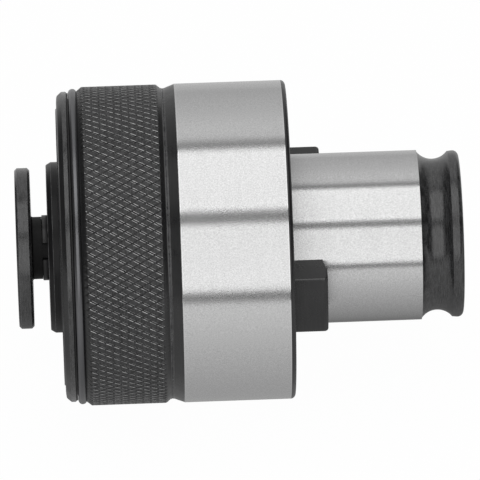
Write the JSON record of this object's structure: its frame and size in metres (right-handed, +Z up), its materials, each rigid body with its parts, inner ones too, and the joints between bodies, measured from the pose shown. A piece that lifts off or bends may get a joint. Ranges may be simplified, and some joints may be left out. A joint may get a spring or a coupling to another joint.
{
  "type": "tapping chuck",
  "caption": "Quick-change tapping chuck with a ball overload clutch: grooved cylindrical shank with drive lugs, ground clutch body, knurled adjusting ring and push-back release disc.",
  "frame": {"origin": "middle of the whole tool on its axis", "axes": "+X along the tool axis towards the shank end, +Z up, the two drive lugs on the -Y and +Y sides"},
  "size_m": [0.0784, 0.0564, 0.0564],
  "materials": {
    "body_steel": "ground steel with black oxide in the groove, on the rear face and on the lugs",
    "black_oxide": "black oxide, satin",
    "hard_steel": "hardened steel, turned",
    "polished_steel": "polished bearing steel",
    "spring_steel": "dark spring steel",
    "bronze": "machined bronze",
    "seal_rubber": "matt nitrile rubber"
  },
  "bodies": {
    "drive": {"drive_body": "body_steel", "tail_bush": "bronze", "clutch_cage": "bronze", "thrust_race_front": "polished_steel", "thrust_cage": "bronze", "clutch_ball_1": "polished_steel", "clutch_ball_2": "polished_steel", "clutch_ball_3": "polished_steel", "clutch_ball_4": "polished_steel", "clutch_ball_5": "polished_steel", "clutch_ball_6": "polished_steel", "clutch_ball_7": "polished_steel", "clutch_ball_8": "polished_steel", "thrust_ball_1": "polished_steel", "thrust_ball_2": "polished_steel", "thrust_ball_3": "polished_steel", "thrust_ball_4": "polished_steel", "thrust_ball_5": "polished_steel", "thrust_ball_6": "polished_steel", "thrust_ball_7": "polished_steel", "thrust_ball_8": "polished_steel", "thrust_ball_9": "polished_steel", "thrust_ball_10": "polished_steel"},
    "pressure": {"pressure_ring": "hard_steel", "disc_spring_1": "spring_steel", "disc_spring_2": "spring_steel", "disc_spring_3": "spring_steel", "disc_spring_4": "spring_steel"},
    "adjuster": {"adjusting_ring": "black_oxide", "lock_ring": "black_oxide", "front_cap": "black_oxide", "front_seal": "seal_rubber"},
    "spindle": {"tap_spindle": "hard_steel", "clutch_plate": "hard_steel", "thrust_race_rear": "polished_steel", "tail_ring": "spring_steel", "nose_ring": "spring_steel", "clutch_key_1": "hard_steel", "clutch_key_2": "hard_steel", "locking_ball_1": "polished_steel", "locking_ball_2": "polished_steel", "locking_ball_3": "polished_steel"},
    "release": {"release_sleeve": "black_oxide", "stop_ring": "spring_steel", "release_spring": "spring_steel"}
  },
  "joints": [
    {"name": "preload_travel", "type": "slide", "parent": "drive", "child": "pressure", "axis": [-1, 0, 0], "range_m": [0, 0.00075], "deforming": ["disc_spring_1", "disc_spring_2", "disc_spring_3", "disc_spring_4"]},
    {"name": "torque_adjust", "type": "hinge", "parent": "pressure", "child": "adjuster", "pos_m": [0, 0, 0], "axis": [-1, 0, 0], "range_deg": [0, 180]},
    {"name": "clutch_slip", "type": "hinge", "parent": "drive", "child": "spindle", "pos_m": [0, 0, 0], "axis": [1, 0, 0], "continuous": true},
    {"name": "tap_release", "type": "slide", "parent": "spindle", "child": "release", "axis": [1, 0, 0], "range_m": [0, 0.002], "stiffness_N_per_m": 3000, "springref_m": -0.004, "deforming": ["release_spring"]}
  ],
  "couplings": [
    {"joint": "torque_adjust", "follows": "preload_travel", "rad_per_m": 4188.8}
  ]
}
